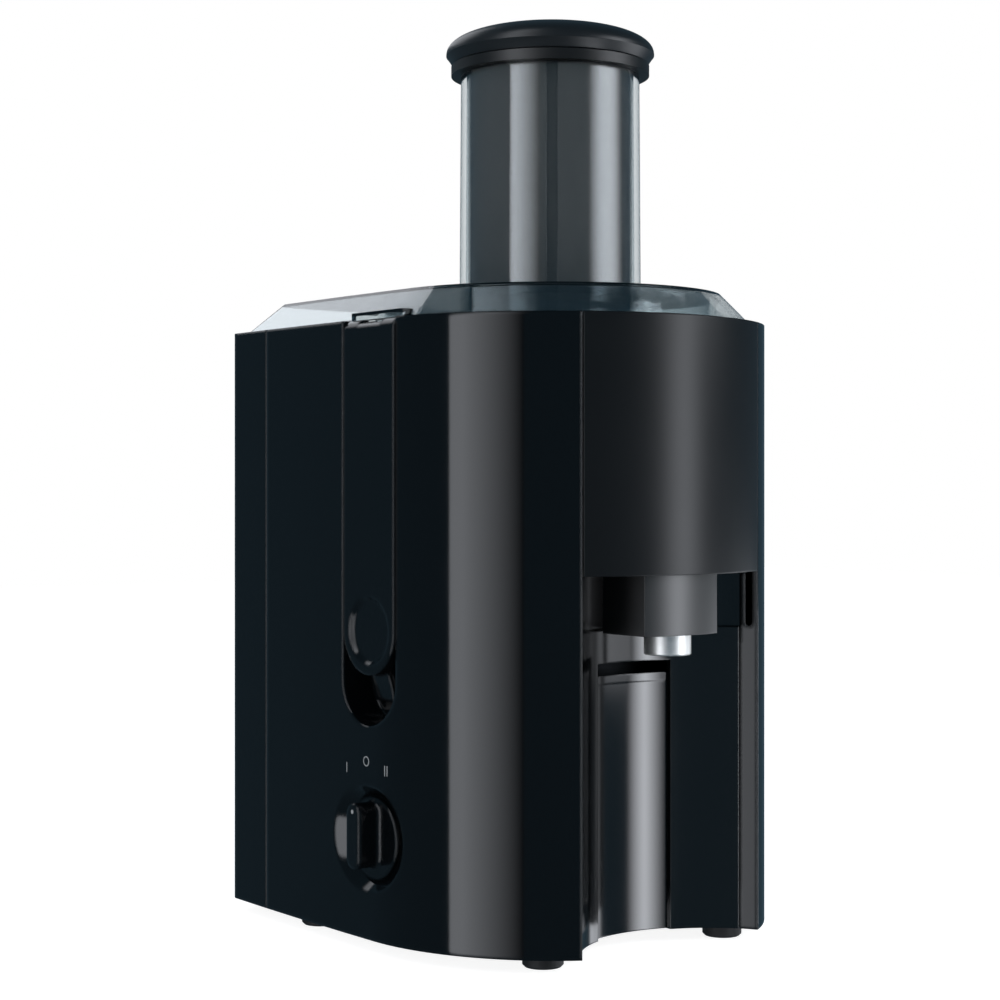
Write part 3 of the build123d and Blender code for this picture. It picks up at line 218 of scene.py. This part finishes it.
# ABS moulded in a polished tool: near mirror, with the faint waviness of a moulded wall
gloss_black = moulded(
    "gloss_black_abs_polished_tool", "#06080a", rough=0.07, spread=0.02, grain=9.0, depth=0.004, edge=2.4
)

# ABS moulded in a spark-eroded tool: soft wide highlight and a fine even grain
satin_black = moulded(
    "satin_black_abs_eroded_tool",
    "#0b0d0f",
    rough=0.32,
    spread=0.03,
    grain=0.7,
    depth=0.010,
    edge=0.9,
    specular=0.34,
)

# ABS of the spout, finely eroded: a broad even sheen
spout_satin = moulded(
    "fine_satin_black_abs", "#050607", rough=0.36, spread=0.03, grain=0.8, depth=0.006, edge=0.9, specular=0.9
)

# ABS of the recess wall and its panel, part polished: a soft-edged highlight down the concave face
recess_black = moulded(
    "semi_gloss_black_abs", "#050607", rough=0.13, spread=0.02, grain=1.2, depth=0.003, edge=0.9, specular=1.0
)

# Polypropylene of the hidden mouldings: plain dark grey with a dull surface
inner_grey = moulded("dark_grey_polypropylene", "#2b2d30", rough=0.5, spread=0.05, grain=1.5, depth=0.02)

# Smoke-tinted SAN of the pusher: dark grey under a gloss, with a matt black collar at the top
smoke = moulded(
    "smoke_grey_san",
    "#666463",
    rough=0.10,
    spread=0.03,
    grain=12.0,
    depth=0.004,
    edge=0.5,
    specular=0.62,
    band=(tube_top - COLLAR_HEIGHT, 0.5, "#0a0c0e"),
)

# Polycarbonate moulded clear: lens-like walls that bend what lies behind them, and a matt black lip
# on the chute
clear = moulded(
    "clear_polycarbonate",
    "#e2e8ea",
    rough=0.03,
    spread=0.01,
    grain=14.0,
    depth=0.003,
    band=(chute_top - LIP_HEIGHT, 0.4, "#0a0c0e"),
    **{"Transmission Weight": 1.0, "IOR": 1.585},
)

# ABS of the pusher's cap, lightly textured: a soft sheen on a dark grey dome
cap_black = moulded("textured_black_abs", "#14181b", rough=0.34, spread=0.03, grain=0.8, depth=0.008)

# Nitrile rubber: dull black with a slight bloom
rubber = moulded("black_nitrile_rubber", "#17181a", rough=0.65, spread=0.05, grain=0.9, depth=0.03)

# Carbon of the brushes: dull dark grey
carbon = moulded("brush_carbon_pressed", "#26272a", rough=0.55, spread=0.05, grain=0.6, depth=0.02)

# White pad-printing ink of the dial marks: thin, so that the black under it greys it
white_ink = moulded("white_pad_printed_ink", "#85888a", rough=0.45, spread=0.04, grain=0.5, depth=0.004)

# Stainless steel, turned and polished: bright with fine turning lines round the sleeve
polished_steel = metal(
    "polished_stainless_steel", "#e6e6e4", rough=0.45, line=0.5, depth=0.003, stretch=ROUND
)

# Stainless sheet, cold rolled: bright grey with soft rolling marks
stainless_sheet = metal(
    "rolled_stainless_sheet", "#c9cacb", rough=0.28, line=1.2, depth=0.006, stretch=ROLLED
)

# Steel with zinc plating: pale, slightly mottled
zinc_steel = metal("zinc_plated_steel", "#b9bcc0", rough=0.34, line=3.0, depth=0.006)

# Ground bearing steel: even and bright
bearing_steel = metal("ground_bearing_steel", "#c2c4c8", rough=0.2, line=0.8, depth=0.003)

# Stacked steel laminations under dark varnish: thin level lines up the stack, nearly black
lamination_steel = metal(
    "varnished_steel_laminations", "#202224", rough=0.6, line=0.5, depth=0.02, stretch=STACKED
)

# Copper wire with varnish: dark orange with a lacquer gloss
copper = metal("enamelled_copper_wire", "#9a4a1e", rough=0.3, line=0.6, depth=0.02, stretch=WOUND)

# Copper of the commutator, turned bare: fine turning lines, bright pinkish orange
bare_copper = metal(
    "turned_commutator_copper", "#c07a4c", rough=0.24, line=0.6, depth=0.006, stretch=ROUND
)

finishes = {
    "gloss_black_abs": gloss_black,
    "satin_black_abs": satin_black,
    "moulded_inner_plastic": inner_grey,
    "smoke_black_plastic": smoke,
    "clear_polycarbonate": clear,
    "polished_steel": polished_steel,
    "zinc_steel": zinc_steel,
    "bearing_steel": bearing_steel,
    "lamination_steel": lamination_steel,
    "enamelled_copper": copper,
    "commutator_copper": bare_copper,
    "brush_carbon": carbon,
    "stainless_sheet": stainless_sheet,
    "black_rubber": rubber,
}
own_finishes = {
    "recess_wall": recess_black,
    "recess_panel": recess_black,
    "spout_block": spout_satin,
    "pusher_cap": cap_black,
}
for part in frame["record"]["subparts"]:
    finish = own_finishes.get(part["node"], finishes[part["material_slot"]])
    for holder in nodes[part["node"]].material_slots:
        holder.material = finish


def mesh_piece(name, points, faces, material, body):
    """Mesh object from a list of points and faces, riding on a body."""
    mesh = bpy.data.meshes.new(name)
    mesh.from_pydata(points, [], faces)
    mesh.update()
    piece = bpy.data.objects.new(name, mesh)
    bpy.context.scene.collection.objects.link(piece)
    mesh.materials.append(material)
    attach(piece, body)
    return piece


def housing_face(x):
    """Y of the housing's front at x: flat left of the drive axis, on the drum's circle right of it."""
    return AXIS_Y - np.sqrt(DRUM_RADIUS**2 - np.clip(x - AXIS_X, 0, None) ** 2)


def printed_line(name, path, width, closed, face, body):
    """Line of ink: a thin rectangle carried along a path of (x, z) points on a face given as y of x.

    At each point the rectangle stands square to the path, half its width to either side and one ink thickness
    in front of the face and behind it."""
    path = np.array(path, dtype=float)
    if closed:
        along = np.roll(path, -1, 0) - np.roll(path, 1, 0)
    else:
        along = np.gradient(path, axis=0)
    along /= np.linalg.norm(along, axis=1)[:, None]
    aside = np.stack([-along[:, 1], along[:, 0]], 1) * width / 2
    rings = []
    for step, lift in ((-1, -INK), (1, -INK), (1, INK), (-1, INK)):
        edge = path + step * aside
        rings.append(np.stack([edge[:, 0], face(edge[:, 0]) + lift, edge[:, 1]], 1))
    points = np.stack(rings, 1).reshape(-1, 3)
    here = np.arange(len(points)).reshape(-1, 4)
    onward = np.roll(here, -1, 0)
    quads = np.stack([here, onward, np.roll(onward, -1, 1), np.roll(here, -1, 1)], 2)
    if closed:
        faces = quads.reshape(-1, 4).tolist()
    else:
        faces = quads[:-1].reshape(-1, 4).tolist() + [here[0].tolist(), here[-1, ::-1].tolist()]
    mesh_piece(name, points.tolist(), faces, white_ink, body)


def circle_path(x, z, radius, steps):
    """Points round a circle: (x + radius cos t, z + radius sin t)."""
    turn = np.linspace(0, 2 * np.pi, steps, endpoint=False)
    return np.stack([x + radius * np.cos(turn), z + radius * np.sin(turn)], 1)


def printed_dot(name, x, z, radius, face, body):
    """Dot of ink: a circle in X and Z, one ink thickness in front of a face at one Y and behind it."""
    outline = circle_path(x, z, radius, DOT_STEPS)
    points = np.concatenate([np.insert(outline, 1, face + lift, 1) for lift in (-INK, INK)])
    front = np.arange(len(outline))
    beside, back = np.roll(front, -1), front + len(outline)
    sides = np.stack([front, back, np.roll(back, -1), beside], 1).tolist()
    faces = sides + [front.tolist(), back[::-1].tolist()]
    mesh_piece(name, points.tolist(), faces, white_ink, body)


def dial_point(angle):
    """Middle of a dial mark, the angle counted clockwise from straight up."""
    return KNOB_X + DIAL_RADIUS * sin(radians(angle)), KNOB_Z + DIAL_RADIUS * cos(radians(angle))


def domed_cap():
    """Cap turned about the drive axis, in place of the solid one.

    Its dome is a superellipse, radius R cos(t)^(2/p) and rise H sin(t)^(2/p) for t from a quarter turn down
    to nought. A small edge and a conical undercut follow, down to the foot and its disc."""
    turn = np.linspace(np.pi / 2, 0, CAP_RINGS + 1)[1:]
    rim = tube_top + CAP_RIM
    across = CAP_RADIUS * np.cos(turn) ** (2 / CAP_POWER)
    along = rim + (cap_high.z - rim) * np.sin(turn) ** (2 / CAP_POWER)
    across = np.append(across, [CAP_RADIUS - CAP_EDGE, CAP_FOOT])
    along = np.append(along, [rim - CAP_EDGE, tube_top])
    round_axis = np.linspace(0, 2 * np.pi, CAP_STEPS, endpoint=False)
    rings = np.stack(
        [
            AXIS_X + np.outer(across, np.cos(round_axis)),
            AXIS_Y + np.outer(across, np.sin(round_axis)),
            np.repeat(along[:, None], CAP_STEPS, 1),
        ],
        2,
    )
    poles = [(AXIS_X, AXIS_Y, cap_high.z), (AXIS_X, AXIS_Y, tube_top)]
    here = np.arange(len(across) * CAP_STEPS).reshape(-1, CAP_STEPS)
    beside = np.roll(here, -1, 1)
    quads = np.stack([here[:-1], here[1:], beside[1:], beside[:-1]], 2).reshape(-1, 4).tolist()
    top, base = here.size, here.size + 1
    fans = [(top, i, j) for i, j in zip(here[0].tolist(), beside[0].tolist())]
    fans += [(base, j, i) for i, j in zip(here[-1].tolist(), beside[-1].tolist())]
    points = rings.reshape(-1, 3).tolist() + poles
    cap = mesh_piece("domed_cap", points, quads + fans, cap_black, "pusher")
    cap.data.shade_smooth()
    cap.data.set_sharp_from_angle(angle=radians(CAP_CREASE))
    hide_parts("pusher_cap")


domed_cap()

# Dial marks round the knob: one stroke, a ring for off, two strokes; and the dot on the knob's pointer
for name, angle, offsets in (("one", ANGLE_ONE, (0,)), ("two", ANGLE_TWO, (-0.5, 0.5))):
    for number, offset in enumerate(offsets):
        x, z = dial_point(angle)
        x += offset * MARK_PITCH
        stroke = [(x, z + share * MARK_HEIGHT) for share in (-0.5, 0, 0.5)]
        printed_line(f"dial_mark_{name}_{number}", stroke, MARK_LINE, False, housing_face, "housing")
off_ring = circle_path(*dial_point(ANGLE_OFF), (MARK_HEIGHT - MARK_LINE) / 2, RING_STEPS)
printed_line("dial_mark_off", off_ring, MARK_LINE, True, housing_face, "housing")
printed_dot("pointer_dot", KNOB_X, KNOB_Z + POINTER_RISE, POINTER_RADIUS, knob_low.y, "knob")


def studio_camera():
    """Level camera of the photograph, lens and place worked out from the body's edges."""
    lens = bpy.data.cameras.new("camera")
    lens.lens = FOCAL_LENGTH
    lens.sensor_width = SENSOR_WIDTH
    lens.shift_y = HORIZON_SHIFT
    camera = bpy.data.objects.new("camera", lens)
    bpy.context.scene.collection.objects.link(camera)
    angle = radians(CAMERA_AZIMUTH)
    camera.location = (
        AXIS_X + CAMERA_DISTANCE * cos(angle),
        AXIS_Y + CAMERA_DISTANCE * sin(angle),
        CAMERA_HEIGHT,
    )
    camera.rotation_euler = (radians(90), 0, radians(CAMERA_HEADING + 90))
    bpy.context.scene.camera = camera


def studio_world():
    """White backdrop behind the object, for the eye and through clear plastic, in a dim, slightly blue room.

    A ray that went straight through clear plastic sees white. One that was also thrown about in it sees white
    within BACKDROP_SPREAD of straight behind and above the horizon, the dim room above the horizon elsewhere,
    and the room's dark below it. Plain reflections see the dim room alone."""
    world = bpy.data.worlds.new("studio")
    bpy.context.scene.world = world
    world.use_nodes = True
    tree = world.node_tree
    tree.nodes.clear()
    path = add(tree, "LightPath").outputs
    heading = add(tree, "TexCoord").outputs["Generated"]
    angle = radians(CAMERA_AZIMUTH)
    away = {0: heading, 1: (-cos(angle), -sin(angle), 0.0)}
    behind = add(tree, "VectorMath", away, operation="DOT_PRODUCT").outputs["Value"]
    height = add(tree, "SeparateXYZ", {"Vector": heading}).outputs["Z"]
    found = {}
    for name, value, limit, operation in (
        ("near", behind, cos(radians(BACKDROP_SPREAD)), "GREATER_THAN"),
        ("above", height, 0.0, "GREATER_THAN"),
        ("straight", path["Glossy Depth"], 0.5, "LESS_THAN"),
        ("passed", path["Transmission Depth"], 0.5, "GREATER_THAN"),
    ):
        found[name] = add(tree, "Math", {0: value, 1: limit}, operation=operation).outputs["Value"]
    both = {0: found["near"], 1: found["above"]}
    backdrop = add(tree, "Math", both, operation="MULTIPLY").outputs["Value"]
    either = {0: backdrop, 1: found["straight"]}
    bright = add(tree, "Math", either, operation="MAXIMUM").outputs["Value"]
    light = {}
    for name, colour, strength in (
        ("white", "#ffffff", 1.0),
        ("dark", "#161c20", 1.0),
        ("room", "#3e5461", 1.0),
        ("fill", "#ffffff", FILL_LIGHT),
    ):
        glow = {"Color": linear(colour), "Strength": strength}
        light[name] = add(tree, "Background", glow).outputs["Background"]
    for name, share, first, second in (
        ("thrown", found["above"], "dark", "room"),
        ("through", bright, "thrown", "white"),
        ("plain", path["Is Diffuse Ray"], "room", "fill"),
        ("unseen", found["passed"], "plain", "through"),
        ("all", path["Is Camera Ray"], "unseen", "white"),
    ):
        parts = {0: share, 1: light[first], 2: light[second]}
        light[name] = add(tree, "MixShader", parts).outputs["Shader"]
    tree.links.new(light["all"], add(tree, "OutputWorld").inputs["Surface"])


def stage_plane(name, corners, material):
    """Flat four-cornered stage piece."""
    mesh = bpy.data.meshes.new(name)
    mesh.from_pydata(corners, [], [(0, 1, 2, 3)])
    plane = bpy.data.objects.new(name, mesh)
    bpy.context.scene.collection.objects.link(plane)
    mesh.materials.append(material)
    return plane


def studio_floor():
    """Pale floor: most of its white is its own, so that the shadow on it stays faint; gloss looks past it."""
    material, tree, output = new_material("pale_floor")
    path = add(tree, "LightPath")
    paint = add(tree, "BsdfDiffuse", {"Color": linear("#bcbcbc")})
    own = add(tree, "Emission", {"Color": linear("#ffffff"), "Strength": 0.9})
    lit = add(tree, "AddShader", {0: paint.outputs["BSDF"], 1: own.outputs["Emission"]})
    past = add(tree, "BsdfTransparent")
    mixed = add(
        tree,
        "MixShader",
        {0: path.outputs["Glossy Depth"], 1: lit.outputs["Shader"], 2: past.outputs["BSDF"]},
    )
    tree.links.new(mixed.outputs["Shader"], output.inputs["Surface"])
    corners = [(x * FLOOR_HALF, y * FLOOR_HALF, 0) for x, y in ((-1, -1), (1, -1), (1, 1), (-1, 1))]
    stage_plane("floor", corners, material)


def softbox(name, azimuths, distance, heights, strength, rise, fall):
    """Upright softbox between two azimuths about the drive axis, at a distance from it.

    From its first azimuth it brightens over the share rise, then fades to nothing from the share fall on."""
    material, tree, output = new_material(name + "_cloth")
    across = add(tree, "UVMap", uv_map="across").outputs["UV"]
    share = add(tree, "SeparateXYZ", {"Vector": across}).outputs["X"]
    first = add(tree, "MapRange", {"Value": share, "From Max": rise})
    last = add(tree, "MapRange", {"Value": share, "From Min": fall, "To Min": strength, "To Max": 0.0})
    glow = add(tree, "Math", {0: first.outputs["Result"], 1: last.outputs["Result"]}, operation="MULTIPLY")
    lamp = add(tree, "Emission", {"Color": linear("#f4f8ff"), "Strength": glow.outputs["Value"]})
    tree.links.new(lamp.outputs["Emission"], output.inputs["Surface"])
    start, end = (
        (AXIS_X + distance * cos(radians(azimuth)), AXIS_Y + distance * sin(radians(azimuth)))
        for azimuth in azimuths
    )
    low, high = heights
    plane = stage_plane(name, [(*start, low), (*start, high), (*end, high), (*end, low)], material)
    uv = plane.data.uv_layers.new(name="across")
    uv.data.foreach_set("uv", [0.0, 0.0, 0.0, 1.0, 1.0, 1.0, 1.0, 0.0])
    plane.visible_camera = False
    plane.visible_shadow = False


studio_camera()
studio_world()
studio_floor()
for name, azimuths, distance, heights, strength, rise, fall in (
    ("left_softbox", (-91, -52), 1.25, (-0.7, 2.8), 3.1, 0.01, 0.2),
    ("right_softbox", (31.2, 8.0), 0.229, (-0.1, 0.285), 6.0, 0.5, 0.5),
    ("upper_softbox", (65, 11), 1.25, (0.38, 0.85), 4.8, 0.5, 0.5),
    ("inner_softbox", (68, 33), 0.6, (0.06, 0.125), 1.1, 0.05, 0.95),
    ("low_softbox", (94, 64), 0.8, (-0.6, 0.1), 2.2, 0.1, 0.9),
    ("high_softbox", (-150, -205), 1.1, (0.7, 1.35), 1.45, 0.1, 0.9),
):
    softbox(name, azimuths, distance, heights, strength, rise, fall)

bpy.context.scene.view_settings.view_transform = "Standard"
